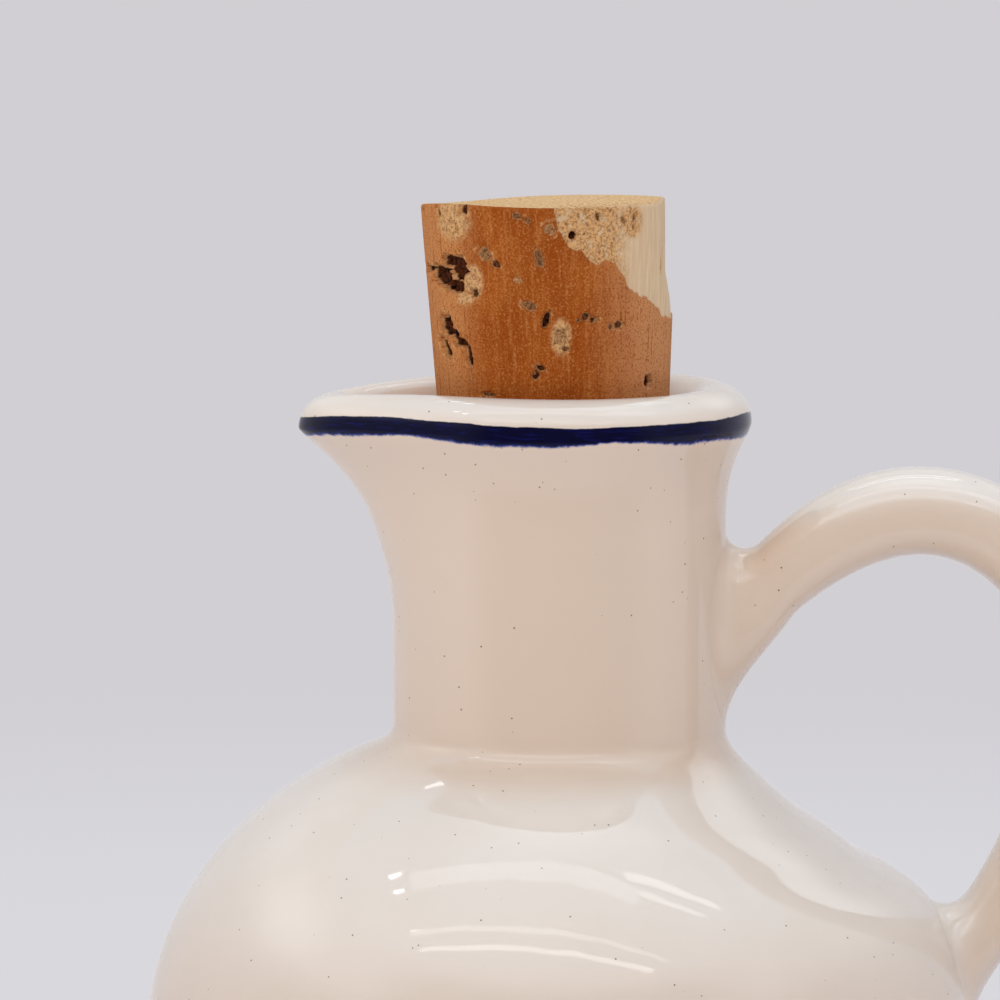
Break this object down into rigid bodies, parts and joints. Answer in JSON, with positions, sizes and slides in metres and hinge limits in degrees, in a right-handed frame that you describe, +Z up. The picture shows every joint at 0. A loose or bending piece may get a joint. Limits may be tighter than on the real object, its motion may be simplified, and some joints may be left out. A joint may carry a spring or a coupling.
{
  "type": "oil carafe",
  "caption": "Glazed earthenware oil carafe with a round belly, a short wide neck, a lip pulled into a pouring spout, a loop handle and a tapered natural cork stopper.",
  "frame": {"origin": "centre of the flat base, on the axis of the pot", "axes": "+Z up along the axis of the pot, +X towards the handle, -X towards the spout"},
  "size_m": [0.1202, 0.1026, 0.1526],
  "materials": {
    "cream_glaze": "glossy cream glaze over pale earthenware, with a hand-painted dark blue line round the lip and a bare flat base",
    "natural_cork": "matt natural cork with dark pores and a pale broken patch at the top"
  },
  "bodies": {
    "carafe": {"vessel": "cream_glaze", "handle": "cream_glaze"},
    "stopper": {"cork_stopper": "natural_cork"}
  },
  "joints": [
    {"name": "cork_pull", "type": "slide", "parent": "carafe", "child": "stopper", "axis": [-0.0227, 0, 0.9997], "range_m": [0, 0.06]}
  ]
}
